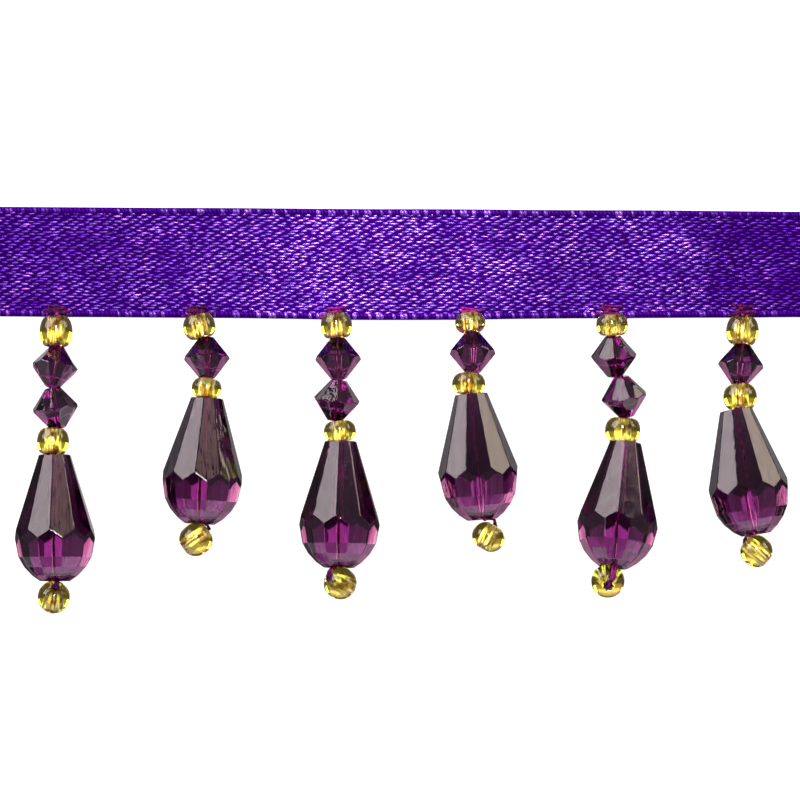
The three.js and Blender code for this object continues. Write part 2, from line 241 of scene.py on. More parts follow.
GROUND_DARK = (0.02, 0.0, 0.075, 1)
GROUND_LIGHT = (0.055, 0.0, 0.3, 1)
GROUND_CLOUD = 0.4 / MM
GROUND_ROUGHNESS = 0.55
WEFT_PITCH = 0.205 * MM
WEFT_DEPTH = 0.05 * MM
WEFT_POLISH = 0.1
# The length at which a wave texture of scale 1 repeats.
WAVE_REPEAT = 0.314
# Painted light along the ribbon, in place of how the light falls on it: a share of its length, and how much
# its face shines there.
PAINTED_LIGHT_ALONG = [
    (0.0, 0.24),
    (0.16, 0.42),
    (0.3, 0.75),
    (0.4, 1.1),
    (0.58, 1.0),
    (0.7, 0.55),
    (0.83, 0.75),
    (0.89, 0.2),
    (1.0, 0.12),
]

satin_ground, net = new_material("satin_ground")
place = net.node("ShaderNodeTexCoord").output("Object")
along = net.node("ShaderNodeSeparateXYZ", inputs={"Vector": place}) / ribbon_length + 0.5
cloud = net.node("ShaderNodeTexNoise", inputs={"Vector": place, "Scale": GROUND_CLOUD, "Detail": 3.0})
weft = net.node(
    "ShaderNodeTexWave",
    {"bands_direction": "X"},
    {"Vector": place, "Scale": WAVE_REPEAT / WEFT_PITCH, "Distortion": 0.6},
    output="Fac",
)
raised = net.node("ShaderNodeBump", inputs={"Strength": 0.5, "Distance": WEFT_DEPTH, "Height": weft})
# The ground's colour runs from dark to light with random clouds of tone and with the painted light along
# the ribbon.
cloth = net.node(
    "ShaderNodeBsdfPrincipled",
    inputs={
        "Base Color": net.mix(cloud * net.ramp(along, PAINTED_LIGHT_ALONG), GROUND_DARK, GROUND_LIGHT),
        "Roughness": GROUND_ROUGHNESS - WEFT_POLISH * weft,
        "Specular IOR Level": 0.0,
        "Normal": raised,
    },
)
net.node("ShaderNodeOutputMaterial", inputs={"Surface": cloth})

ribbon_sheet = bpy.data.objects.new("satin_ribbon_sheet", sheet_mesh.copy())
bpy.context.scene.collection.objects.link(ribbon_sheet)
ribbon_sheet.data.materials.append(satin_ground)
sheet_body = ribbon_sheet.modifiers.new("thickness", "SOLIDIFY")
sheet_body.thickness = SHEET_THICK
sheet_body.offset = -1
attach(ribbon_sheet, "root")
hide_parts("ribbon")


# Satin floats
# The shiny face of the ribbon: polyester warp threads that float over four wefts and dip under the fifth.
# Each row starts two wefts further along, so the crowns of the floats stand in slanting lines.

SELVEDGE_WIDE = 0.62 * MM
REPEAT_WEFTS = 5
STEP_WEFTS = 2
FLOAT_REPEAT = REPEAT_WEFTS * WEFT_PITCH
FLOAT_STEP = STEP_WEFTS / REPEAT_WEFTS
ROW_PITCH = 0.24 * MM
FLOAT_LONG = 0.98 * MM
FLOAT_WIDE = 0.26 * MM
FLOAT_HIGH = 0.1 * MM
# A float or a wrap is a sphere of this radius, drawn out to its length, width and height.
SPHERE_RADIUS = 0.5
# Floats slip along and sway across together as the cloth wanders, and each a little on its own.
FLOAT_SLIP = 0.5 * MM
FLOAT_SWAY = 0.3 * MM
SLIP_SCALE = 0.22 / MM
OWN_SLIP = 0.15 * MM
OWN_SWAY = 0.05 * MM
# The least and the most of each float's share of its full size, and of its turns in radians.
FLOAT_LENGTHS = (0.55, 1.1)
FLOAT_WIDTHS = (0.9, 1.08)
FLOAT_HEIGHTS = (0.8, 1.2)
FLOAT_ROLLS = (-0.08, 0.08)
FLOAT_PITCHES = (-0.07, 0.07)
FLOAT_TURNS = (-0.08, 0.18)
# Keeps a sum that should be whole from falling just short of it.
ROUNDING_NUDGE = 0.01
# A float's colour runs from dark to light with its own random tone and with painted light; the rose is a
# painted highlight on the crowns.
FLOAT_DARK = (0.048, 0.0, 0.22, 1)
FLOAT_LIGHT = (0.36, 0.13, 0.98, 1)
FLOAT_ROSE_HIGHLIGHT = (0.5, 0.12, 0.8, 1)
# Slanting streaks and clouds of painted light over the floats; the clouds also place the painted rose
# highlights.
STREAK_SLANT = math.radians(28)
STREAK_SCALE = (0.09 / MM, 0.5 / MM, 0.1 / MM)
FLOAT_CLOUD = 0.35 / MM


def grown(name, ground, sizes, plan, material):
    """A piece grown over a ground mesh by a node tree, which plan lays out from its named sizes."""
    tree = bpy.data.node_groups.new(name, "GeometryNodeTree")
    tree.interface.new_socket("Geometry", in_out="INPUT", socket_type="NodeSocketGeometry")
    tree.interface.new_socket("Geometry", in_out="OUTPUT", socket_type="NodeSocketGeometry")
    identifiers = {}
    for label, value in sizes.items():
        kind = "NodeSocketInt" if isinstance(value, int) else "NodeSocketFloat"
        identifiers[label] = tree.interface.new_socket(label, in_out="INPUT", socket_type=kind).identifier
    entry = tree.nodes.new("NodeGroupInput")
    size = {label: Wire(tree, entry.outputs[label]) for label in sizes}
    net = Wire(tree)
    shape = plan(net, Wire(tree, entry.outputs["Geometry"]), size)
    smooth = net.node("GeometryNodeSetShadeSmooth", inputs={"Geometry": shape})
    realized = net.node("GeometryNodeRealizeInstances", inputs={"Geometry": smooth})
    painted = net.node("GeometryNodeSetMaterial", inputs={"Geometry": realized, "Material": material})
    net.node("NodeGroupOutput", inputs={"Geometry": painted})
    piece = bpy.data.objects.new(name, ground)
    bpy.context.scene.collection.objects.link(piece)
    modifier = piece.modifiers.new(name, "NODES")
    modifier.node_group = tree
    for label, value in sizes.items():
        modifier[identifiers[label]] = value
    depsgraph = bpy.context.evaluated_depsgraph_get()
    mesh = bpy.data.meshes.new_from_object(
        piece.evaluated_get(depsgraph), preserve_all_data_layers=True, depsgraph=depsgraph
    )
    piece.modifiers.remove(modifier)
    piece.data = mesh
    return piece


def random_between(net, low, high, seed):
    """A random number for each point or copy."""
    return net.node(
        "FunctionNodeRandomValue", {"data_type": "FLOAT"}, {2: low, 3: high, "Seed": seed}, output=1
    )


def combined(net, x, y, z):
    """A vector from three numbers."""
    return net.node("ShaderNodeCombineXYZ", inputs={"X": x, "Y": y, "Z": z})


def on_the_sheet(net, sheet, along, across):
    """The point and the normal of the sheet at a share along and a share across it."""
    sampled = []
    for kind in ("GeometryNodeInputPosition", "GeometryNodeInputNormal"):
        unwrapped = net.node(
            "GeometryNodeInputNamedAttribute", {"data_type": "FLOAT_VECTOR"}, {"Name": "UVMap"}
        )
        sampled.append(net.node(
            "GeometryNodeSampleUVSurface",
            {"data_type": "FLOAT_VECTOR"},
            {
                "Mesh": sheet,
                "Value": net.node(kind),
                "UV Map": unwrapped,
                "Sample UV": combined(net, along, across, 0.0),
            },
        ))
    return sampled


def crowned(net, shape):
    """A rounded shape that carries how near each of its points is to its crown."""
    place = net.node("ShaderNodeSeparateXYZ", inputs={"Vector": net.node("GeometryNodeInputPosition")})
    height = net.math("MAXIMUM", place.output("Z") / SPHERE_RADIUS, 0.0)
    return net.node(
        "GeometryNodeStoreNamedAttribute",
        {"data_type": "FLOAT", "domain": "POINT"},
        {"Geometry": shape, "Name": "crown", "Value": height * height},
    )


def set_on_sheet(net, points, shape, sheet, along, across, margin, tilt, scale, tone):
    """Copies of a shape set on the sheet, each with its tilt and tone, a margin clear of the cut ends."""
    place, normal = on_the_sheet(net, sheet, along, across)
    numbered = net.node("GeometryNodeSetID", inputs={"Geometry": points})
    outside = net.math("GREATER_THAN", net.math("ABSOLUTE", along - 0.5), 0.5 - margin)
    kept = net.node("GeometryNodeDeleteGeometry", inputs={"Geometry": numbered, "Selection": outside})
    upright = net.node("FunctionNodeAlignRotationToVector", {"axis": "Z"}, {"Vector": normal})
    turn = net.node("FunctionNodeEulerToRotation", inputs={"Euler": tilt})
    turned = net.node(
        "FunctionNodeRotateRotation",
        {"rotation_space": "LOCAL"},
        {"Rotation": upright, "Rotate By": turn},
    )
    copies = net.node(
        "GeometryNodeInstanceOnPoints",
        inputs={"Points": kept, "Instance": crowned(net, shape), "Rotation": turned, "Scale": scale},
    )
    placed = net.node("GeometryNodeSetPosition", inputs={"Geometry": copies, "Position": place})
    return net.node(
        "GeometryNodeStoreNamedAttribute",
        {"data_type": "FLOAT", "domain": "INSTANCE"},
        {"Geometry": placed, "Name": "tone", "Value": tone},
    )


def lay_floats(net, sheet, size):
    """Floats in staggered rows over the whole of the sheet between its selvedges."""
    lattice = net.node(
        "GeometryNodeMeshGrid",
        inputs={
            "Size X": (size["columns"] - 1) * size["repeat"],
            "Size Y": (size["rows"] - 1) * size["row pitch"],
            "Vertices X": size["columns"],
            "Vertices Y": size["rows"],
        },
    )
    flat = net.node("GeometryNodeInputPosition")
    x = net.node("ShaderNodeSeparateXYZ", inputs={"Vector": flat})
    y = x.output("Y")
    row = net.math("ROUND", y / size["row pitch"] + (size["rows"] - 1) * 0.5)
    start = net.math("FRACT", row * size["step"] + ROUNDING_NUDGE) * size["repeat"]
    wander = net.node(
        "ShaderNodeTexNoise", inputs={"Vector": flat, "Scale": size["slip scale"], "Detail": 2.0}
    )
    slip = (wander - 0.5) * size["slip"] + random_between(net, -OWN_SLIP, OWN_SLIP, size["seed"])
    along = (x + start + slip) / size["ribbon length"] + 0.5
    sway = (wander - 0.5) * size["sway"] + random_between(net, -OWN_SWAY, OWN_SWAY, size["seed"] + 8)
    across = (y + sway) / size["ribbon width"] + 0.5
    margin = size["long"] * 0.5 / size["ribbon length"]
    shape = net.node(
        "GeometryNodeMeshUVSphere", inputs={"Segments": 8, "Rings": 5, "Radius": SPHERE_RADIUS}
    )
    scale = combined(
        net,
        size["long"] * random_between(net, *FLOAT_LENGTHS, size["seed"] + 1),
        size["wide"] * random_between(net, *FLOAT_WIDTHS, size["seed"] + 2),
        size["high"] * random_between(net, *FLOAT_HEIGHTS, size["seed"] + 3),
    )
    tilt = combined(
        net,
        random_between(net, *FLOAT_ROLLS, size["seed"] + 6),
        random_between(net, *FLOAT_PITCHES, size["seed"] + 7),
        random_between(net, *FLOAT_TURNS, size["seed"] + 4),
    )
    tone = random_between(net, 0.0, 1.0, size["seed"] + 5)
    return set_on_sheet(net, lattice, shape, sheet, along, across, margin, tilt, scale, tone)


# The painted light on a float: painted shine from the fall of light along the ribbon and from slanting
# streaks and clouds over the cloth round it, its own random tone, and a painted highlight on the crown of
# its curve.
NOISE_RANGE = (0.3, 0.7)
STREAK_SHINE = (0.35, 1.35)
CLOUD_SHINE = (0.6, 1.3)
TONE_LEAST = 0.5
TONE_GAIN = 0.8
CROWN_LEAST = 0.2
CROWN_GAIN = 0.8
ROSE_RANGE = (0.42, 0.6)
ROSE_MOST = 0.5
FLOAT_ROUGHNESS = 0.34
FLOAT_POLISH = 0.14
FLOAT_COAT = 0.8

satin_float, net = new_material("satin_float")
tone = net.node("ShaderNodeAttribute", {"attribute_name": "tone"}, output="Fac")
crown = net.node("ShaderNodeAttribute", {"attribute_name": "crown"}, output="Fac")
place = net.node("ShaderNodeTexCoord").output("Object")
along = net.node("ShaderNodeSeparateXYZ", inputs={"Vector": place}) / ribbon_length + 0.5
painted_fall = net.ramp(along, PAINTED_LIGHT_ALONG)
slanted = net.node(
    "ShaderNodeMapping",
    inputs={"Vector": place, "Rotation": (0, 0, -STREAK_SLANT), "Scale": STREAK_SCALE},
)
streaks = net.node(
    "ShaderNodeTexNoise",
    inputs={"Vector": slanted, "Scale": 1.0, "Detail": 3.0, "Roughness": 0.6},
)
cloud = net.node("ShaderNodeTexNoise", inputs={"Vector": place, "Scale": FLOAT_CLOUD, "Detail": 2.0})
# Painted light: the fall of light along the ribbon, and streaks and clouds of it, brightening the float's
# colour.
painted_shine = painted_fall * net.eased(streaks, *NOISE_RANGE, *STREAK_SHINE)
painted_shine *= net.eased(cloud, *NOISE_RANGE, *CLOUD_SHINE)
toned = TONE_LEAST + TONE_GAIN * tone
# A painted highlight on the crown of each float.
crown_highlight = CROWN_LEAST + CROWN_GAIN * crown
painted_lit = net.math("MINIMUM", toned * painted_shine * crown_highlight, 1.0)
violet = net.mix(painted_lit, FLOAT_DARK, FLOAT_LIGHT)
# A painted rose highlight on the crowns of some floats.
rose_highlight = net.eased(tone * cloud, *ROSE_RANGE, 0.0, ROSE_MOST) * crown
yarn = net.node(
    "ShaderNodeBsdfPrincipled",
    inputs={
        "Base Color": net.mix(rose_highlight, violet, FLOAT_ROSE_HIGHLIGHT),
        "Metallic": 0.7,
        "Roughness": FLOAT_ROUGHNESS - FLOAT_POLISH * painted_lit,
        "Specular IOR Level": 0.0,
        "Coat Weight": painted_lit * crown * FLOAT_COAT,
        "Coat Roughness": 0.16,
        "Coat IOR": 1.5,
    },
)
net.node("ShaderNodeOutputMaterial", inputs={"Surface": yarn})

float_rows = int((ribbon_width - 2 * SELVEDGE_WIDE) / ROW_PITCH) + 1
satin_floats = grown(
    "satin_floats",
    sheet_mesh,
    {
        "ribbon length": ribbon_length,
        "ribbon width": ribbon_width,
        "columns": int(ribbon_length / FLOAT_REPEAT) + 2,
        "rows": float_rows,
        "repeat": FLOAT_REPEAT,
        "row pitch": ROW_PITCH,
        "step": FLOAT_STEP,
        "long": FLOAT_LONG,
        "wide": FLOAT_WIDE,
        "high": FLOAT_HIGH,
        "slip": FLOAT_SLIP,
        "sway": FLOAT_SWAY,
        "slip scale": SLIP_SCALE,
        "seed": 11,
    },
    lay_floats,
    satin_float,
)
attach(satin_floats, "root")


# Selvedges
# The ribbon's two woven edges, where the weft turns back round the outermost warp threads.
# Tight wraps of the same polyester, with a thicker knot at every third pick.

WRAP_PITCH = 0.37 * MM
WRAP_WIDE = 0.36 * MM
WRAP_LONG = 0.66 * MM
WRAP_HIGH = 0.24 * MM
WRAP_SLIP = 0.04 * MM
WRAP_LENGTHS = (0.92, 1.08)
WRAP_HEIGHTS = (0.85, 1.15)
WRAP_TURNS = (0.05, 0.4)
PICKS_TO_A_KNOT = 3
PICK_NUDGE = 0.1
KNOT_SHARE = 0.3
KNOT_SWELL = 1.35
KNOT_TONES = (1.0, 1.6)
WRAP_DULLNESS = 0.6


def lay_wraps(net, sheet, size):
    """Wraps side by side along both edges of the sheet, every third one a knot."""
    lattice = net.node(
        "GeometryNodeMeshGrid",
        inputs={
            "Size X": (size["columns"] - 1) * size["pitch"],
            "Size Y": size["ribbon width"] - size["long"],
            "Vertices X": size["columns"],
            "Vertices Y": 2,
        },
    )
    x = net.node("ShaderNodeSeparateXYZ", inputs={"Vector": net.node("GeometryNodeInputPosition")})
    y = x.output("Y")
    pick = net.math("ROUND", x / size["pitch"] + size["columns"] * 0.5)
    since_knot = net.math("FRACT", pick / PICKS_TO_A_KNOT + PICK_NUDGE)
    knot = net.math("LESS_THAN", since_knot, KNOT_SHARE)
    slip = random_between(net, -WRAP_SLIP, WRAP_SLIP, size["seed"])
    along = (x + slip) / size["ribbon length"] + 0.5
    across = y / size["ribbon width"] + 0.5
    margin = size["wide"] * 0.5 / size["ribbon length"]
    shape = net.node(
        "GeometryNodeMeshUVSphere", inputs={"Segments": 10, "Rings": 6, "Radius": SPHERE_RADIUS}
    )
    swell = 1 + knot * (KNOT_SWELL - 1)
    scale = combined(
        net,
        size["wide"] * swell,
        size["long"] * random_between(net, *WRAP_LENGTHS, size["seed"] + 1),
        size["high"] * swell * random_between(net, *WRAP_HEIGHTS, size["seed"] + 2),
    )
    tilt = combined(net, 0.0, 0.0, random_between(net, *WRAP_TURNS, size["seed"] + 3))
    tone = knot * random_between(net, *KNOT_TONES, size["seed"] + 4) - WRAP_DULLNESS
    return set_on_sheet(net, lattice, shape, sheet, along, across, margin, tilt, scale, tone)


selvedge_wraps = grown(
    "selvedge_wraps",
    sheet_mesh,
    {
        "ribbon length": ribbon_length,
        "ribbon width": ribbon_width,
        "columns": int(ribbon_length / WRAP_PITCH),
        "pitch": WRAP_PITCH,
        "wide": WRAP_WIDE,
        "long": WRAP_LONG,
        "high": WRAP_HIGH,
        "seed": 31,
    },
    lay_wraps,
    satin_float,
)
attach(selvedge_wraps, "root")


# Seed beads
# Short rounded tubes of clear yellow glass, drawn and tumbled, with a fluted hole lined with silver.
# One starts each drop at the ribbon, one sits above the teardrop, and one hangs askew below it.

SEED_SIDES = 64
SEED_OUTER_POINTS = 22
SEED_LINING_POINTS = 8
SEED_ARC = math.radians(270)
SEED_SQUARENESS = 2.4
SEED_BULGE = 0.12
END_SEED_SQUARENESS = 2.2
SEED_BORE = 0.48 * MM
BORE_FLUTES = 7
FLUTE_DEPTH = 0.12
LINING_FLARE = 3
SEED_ROLL_STEP = 0.37
# How far a top or middle seed and a cut bead are drawn out past their solids, to meet their neighbours.
BEAD_REACH = 0.13 * MM
GOLD_ABSORPTION = (0.968, 0.865, 0.2, 1)
GOLD_DENSITY = 1050.0
GLASS_PALE = (1.0, 0.99, 0.93, 1)
GLASS_DEEP = (1.0, 0.93, 0.68, 1)
SILVER_BRIGHT = (0.95, 0.93, 0.86, 1)
SILVER_TARNISHED = (0.3, 0.19, 0.07, 1)
SWIRL_SCALE = 0.9 / MM
SWIRL_DEPTH = 0.02 * MM
SWIRL_RANGE = (0.35, 0.65)
GLASS_ROUGHNESS = 0.02
SWIRL_ROUGHNESS = 0.04
TARNISH_SCALE = 1.4 / MM
TARNISH_RANGE = (0.48, 0.64)
SILVER_ROUGHNESS = 0.2
TARNISH_ROUGHNESS = 0.25

gold_glass, net = new_material("gold_glass")
place = net.node("ShaderNodeTexCoord").output("Object")
swirl = net.node("ShaderNodeTexNoise", inputs={"Vector": place, "Scale": SWIRL_SCALE, "Detail": 2.0})
drawn = net.node("ShaderNodeBump", inputs={"Strength": 0.5, "Distance": SWIRL_DEPTH, "Height": swirl})
glass = net.node(
    "ShaderNodeBsdfPrincipled",
    inputs={
        "Base Color": net.mix(net.eased(swirl, *SWIRL_RANGE, 0.0, 1.0), GLASS_PALE, GLASS_DEEP),
        "Roughness": GLASS_ROUGHNESS + SWIRL_ROUGHNESS * swirl,
        "IOR": 1.52,
        "Transmission Weight": 1.0,
        "Normal": drawn,
    },
)
depth = net.node(
    "ShaderNodeVolumeAbsorption", inputs={"Color": GOLD_ABSORPTION, "Density": GOLD_DENSITY}
)
net.node("ShaderNodeOutputMaterial", inputs={"Surface": glass, "Volume": depth})

silver_lining, net = new_material("silver_lining")
place = net.node("ShaderNodeTexCoord").output("Object")
tarnish = net.node("ShaderNodeTexNoise", inputs={"Vector": place, "Scale": TARNISH_SCALE, "Detail": 3.0})
dulled = net.eased(tarnish, *TARNISH_RANGE, 0.0, 1.0)
silver = net.node(
    "ShaderNodeBsdfPrincipled",
    inputs={
        "Base Color": net.mix(dulled, SILVER_BRIGHT, SILVER_TARNISHED),
        "Metallic": 1.0,
        "Roughness": SILVER_ROUGHNESS + TARNISH_ROUGHNESS * tarnish,
    },
)
net.node("ShaderNodeOutputMaterial", inputs={"Surface": silver})


def blunted(value, squareness):
    """A sine or cosine drawn out so that a circle becomes a rounded square."""
    return math.copysign(abs(value) ** (2 / squareness), value)


def ring_section(radius, half, bore):
    """The outer curve of a short tube's wall, from its lower rim to its upper one: reach and height."""
    points = []
    for i in range(SEED_OUTER_POINTS):
        turn = SEED_ARC * (i / (SEED_OUTER_POINTS - 1) - 0.5)
        rise = blunted(math.sin(turn), SEED_SQUARENESS)
        reach = bore + (radius - bore) * (1 + blunted(math.cos(turn), SEED_SQUARENESS)) / 2
        points.append((reach * (1 - SEED_BULGE * rise * rise), half * rise))
    return points


def barrel_section(radius, half, bore):
    """The outer curve of a round barrel with a hole, from its lower rim to its upper one."""
    last = math.acos((bore / radius) ** (END_SEED_SQUARENESS / 2))
    pole = half / blunted(math.sin(last), END_SEED_SQUARENESS)
    points = []
    for i in range(SEED_OUTER_POINTS):
        turn = last * (2 * i / (SEED_OUTER_POINTS - 1) - 1)
        reach = radius * blunted(math.cos(turn), END_SEED_SQUARENESS)
        points.append((reach, pole * blunted(math.sin(turn), END_SEED_SQUARENESS)))
    return points


def new_piece(name, shape, materials):
    """A new object at the origin from a bmesh, which is freed."""
    mesh = bpy.data.meshes.new(name)
    shape.to_mesh(mesh)
    shape.free()
    piece = bpy.data.objects.new(name, mesh)
    bpy.context.scene.collection.objects.link(piece)
    for material in materials:
        mesh.materials.append(material)
    return piece


def bead_radius(node):
    """The largest distance of a bead's corners from its axis."""
    middle, axis, half = bead_pose(node)
    corners = [v.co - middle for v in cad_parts[node].data.vertices]
    return max((corner - axis * corner.dot(axis)).length for corner in corners)


def seed_bead(name, node, section, reach_out, roll):
    """A seed bead about its solid's axis, its fluted hole turned by roll and lined with silver."""
    middle, axis, half = bead_pose(node)
    radius = bead_radius(node)
    to_axis = axis.to_track_quat("Z", "Y")
    shape = bmesh.new()
    rings = []
    for k in range(SEED_SIDES):
        around = 2 * math.pi * k / SEED_SIDES
        bore = SEED_BORE * (1 + FLUTE_DEPTH * math.cos(BORE_FLUTES * (around + roll)))
        outer = section(radius, half + reach_out, bore)
        first, last = outer[0], outer[-1]
        lining = []
        for i in range(1, SEED_LINING_POINTS):
            share = i / SEED_LINING_POINTS
            flare = (last[0] - bore) * abs(2 * share - 1) ** LINING_FLARE
            lining.append((bore + flare, last[1] + (first[1] - last[1]) * share))
        ring = []
        for reach, height in outer + lining:
            local = Vector((reach * math.cos(around), reach * math.sin(around), height))
            ring.append(shape.verts.new(middle + to_axis @ local))
        rings.append(ring)
    points = len(rings[0])
    for k in range(SEED_SIDES):
        here, there = rings[k], rings[(k + 1) % SEED_SIDES]
        for i in range(points):
            after = (i + 1) % points
            face = shape.faces.new([here[i], there[i], there[after], here[after]])
            face.smooth = True
            face.material_index = 1 if i >= SEED_OUTER_POINTS - 1 else 0
    bmesh.ops.recalc_face_normals(shape, faces=shape.faces)
    return new_piece(name, shape, [gold_glass, silver_lining])


for drop in DROPS:
    for place, section, reach_out in (
        ("top", ring_section, BEAD_REACH),
        ("mid", ring_section, BEAD_REACH),
        ("end", barrel_section, 0.0),
    ):
        node = f"drop_{drop}_{place}_seed"
        seed = seed_bead(f"gold_{place}_seed_{drop}", node, section, reach_out, SEED_ROLL_STEP * drop)
        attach(seed, "root")
        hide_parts(node)


# Bicone beads
# Faceted double cones moulded in clear plum acrylic, eight facets above and eight below, with a hole from
# point to point. Their facets meet in a zigzag, and their edges are only a little softened.

PLUM_ABSORPTION = (0.64, 0.2, 0.59, 1)
BICONE_DENSITY = 1250.0
PLUM_CLEAR = (1.0, 0.97, 1.0, 1)
PLUM_CLOUDY = (0.74, 0.52, 0.7, 1)
FLOW_ACROSS = 2.0 / MM
FLOW_ALONG = 0.22 / MM
FLOW_DEPTH = 0.036 * MM
FLOW_CLOUDY = (0.42, 0.6)
PLUM_ROUGHNESS = 0.02
FLOW_ROUGHNESS = 0.05
EDGE_SOFTENING = 0.065 * MM
EDGE_ANGLE = math.radians(9)
FLAT_ANGLE = math.radians(1)
# Points nearer than this along a bead's axis are level with each other.
LEVEL = 0.01 * MM
BORE_WIDEST = 0.7 * MM
BORE_SHRINK = 0.74


def plum_acrylic(name, density):
    """Clear plum acrylic with the faint waves and flow lines of moulding, at its bead's own density."""
    made, net = new_material(name)
    place = net.node("ShaderNodeTexCoord").output("Object")
    drawn = net.node(
        "ShaderNodeMapping", inputs={"Vector": place, "Scale": (FLOW_ACROSS, FLOW_ALONG, FLOW_ACROSS)}
    )
    flow = net.node("ShaderNodeTexNoise", inputs={"Vector": drawn, "Scale": 1.0, "Detail": 3.0})
    waves = net.node("ShaderNodeBump", inputs={"Strength": 0.6, "Distance": FLOW_DEPTH, "Height": flow})
    acrylic = net.node(
        "ShaderNodeBsdfPrincipled",
        inputs={
            "Base Color": net.mix(net.eased(flow, *FLOW_CLOUDY, 0.0, 1.0), PLUM_CLEAR, PLUM_CLOUDY),
            "Roughness": PLUM_ROUGHNESS + FLOW_ROUGHNESS * flow,
            "IOR": 1.49,
            "Transmission Weight": 1.0,
            "Normal": waves,
        },
    )
    depth = net.node("ShaderNodeVolumeAbsorption", inputs={"Color": PLUM_ABSORPTION, "Density": density})
    net.node("ShaderNodeOutputMaterial", inputs={"Surface": acrylic, "Volume": depth})
    return made


def cut_bead(name, node, material):
    """A faceted bead: its solid drawn out a little at both ends, with a finer bore and softened edges."""
    middle, axis, half = bead_pose(node)
    shape = bmesh.new()
    shape.from_mesh(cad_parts[node].data)
    bmesh.ops.remove_doubles(shape, verts=shape.verts, dist=SAME_PLACE)
    bmesh.ops.dissolve_limit(shape, angle_limit=FLAT_ANGLE, verts=shape.verts, edges=shape.edges)
    moves = {}
    for vertex in shape.verts:
        at_end = abs(abs((vertex.co - middle).dot(axis)) - half) < LEVEL
        runs = [vertex.co - edge.other_vert(vertex).co for edge in vertex.link_edges]
        rising = [run * (BEAD_REACH / abs(run.dot(axis))) for run in runs if abs(run.dot(axis)) > LEVEL]
        if at_end and rising:
            moves[vertex] = sum(rising, Vector()) / len(rising)
    for vertex, move in moves.items():
        vertex.co += move
    for vertex in shape.verts:
        out = vertex.co - middle
        out -= axis * out.dot(axis)
        if out.length < BORE_WIDEST:
            vertex.co -= out * BORE_SHRINK
    piece = new_piece(name, shape, [material])
    softened = piece.modifiers.new("softened_edges", "BEVEL")
    softened.width = EDGE_SOFTENING
    softened.segments = 1
    softened.limit_method = "ANGLE"
    softened.angle_limit = EDGE_ANGLE
    return piece


bicone_plum = plum_acrylic("bicone_plum", BICONE_DENSITY)
for drop in DROPS:
    for number in (1, 2):
        node = f"drop_{drop}_bicone_{number}"
        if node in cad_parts:
            bicone = cut_bead(f"plum_bicone_{drop}_{number}", node, bicone_plum)
            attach(bicone, "root")
            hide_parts(node)


# Teardrop beads
# The weight of each drop, moulded in the same plum acrylic and threaded through its length.
# It has ten long facets, a girdle of ten staggered ones, and two more rows that close its round end down to
# a small dished foot.

TEARDROP_DENSITY = 740.0

teardrop_plum = plum_acrylic("teardrop_plum", TEARDROP_DENSITY)
for drop in DROPS:
    teardrop = cut_bead(f"plum_teardrop_{drop}", f"drop_{drop}_teardrop", teardrop_plum)
    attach(teardrop, "root")
    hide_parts(f"drop_{drop}_teardrop")


# Threads
# Magenta two-ply sewing thread, stitched over the ribbon's lower edge and passed down through every bead.
# At the bottom two strands go round the end seed, which lies across them as a stop, and one is knotted off
# in its hole.

PLY_RADIUS = 0.075 * MM
PLY_OFFSET = 0.06 * MM
PLY_PITCH = 0.55 * MM
PLY_SIDES = 6
THREAD_STEP = 0.06 * MM
THREAD_LIFT = 0.22 * MM
BORE_INSET = 0.9 * MM
SEED_CLEARANCE = 0.14 * MM
STRAND_APART = 0.26 * MM
# Shares of the way round the end seed, from the side of the teardrop to the mouth of the seed's hole; each
# share is also how much painted shade the thread carries there.
ROUND_SEED = (0.0, 0.25, 0.5, 0.75)
# Where each strand ends and the knot starts, as shares of the way from the seed's middle to that mouth.
FIRST_STRAND_END = 1.1
SECOND_STRAND_END = 0.8
KNOT_START = 0.9
KNOT_RADIUS = 0.33 * MM
KNOT_POINTS = 14
KNOT_TURNS = 3.5
# The thread's own colours, and the same thread darkened by painted shade where it lies packed in the
# stitches and deep in the knot.
HANGING_DARK = (0.28, 0.004, 0.15, 1)
HANGING_LIGHT = (0.76, 0.05, 0.48, 1)
SHADED_THREAD_DARK = (0.03, 0.0, 0.03, 1)
SHADED_THREAD_LIGHT = (0.2, 0.006, 0.13, 1)
FUZZ_SCALE = 3.0 / MM
FUZZ_RANGE = (0.42, 0.72)
THREAD_ROUGHNESS = 0.4
FUZZ_ROUGHNESS = 0.2
# The stitches at each drop, as both ends along and up the ribbon in millimetres. Along is from the place
# where the thread leaves the edge, and up is from the edge.
STITCHES = [
    {"from_along": -1.3, "from_up": 0.3, "to_along": 0.1, "to_up": 0.5},
    {"from_along": -1.1, "from_up": 0.5, "to_along": 0.9, "to_up": 0.62},
    {"from_along": -0.9, "from_up": 0.72, "to_along": 0.6, "to_up": 0.8},
    {"from_along": -0.7, "from_up": 0.92, "to_along": 0.8, "to_up": 0.86},
    {"from_along": -0.5, "from_up": 0.62, "to_along": 1.1, "to_up": 0.45},
    {"from_along": 0.0, "from_up": 0.4, "to_along": 1.3, "to_up": 0.28},
    {"from_along": -0.35, "from_up": 0.8, "to_along": -0.25, "to_up": -0.1},
    {"from_along": 0.3, "from_up": 0.8, "to_along": 0.2, "to_up": -0.12},
]
STITCH_WANDER = 0.26
STITCH_RISE = 0.1 * MM
STITCH_BEND = 0.12 * MM
STITCH_SUNK = 1.6 * THREAD_LIFT
# Where the thread runs on the ribbon's face before its first bead, along and up in the same way.
HEADING = ((-0.2, 1.0), (0.0, 0.35))
# How much painted shade each drop's stitches carry, 0 to 1. Those with less show the thread paler.
STITCH_SHADE = (1.0, 0.95, 0.6, 0.05, 0.7, 0.95)


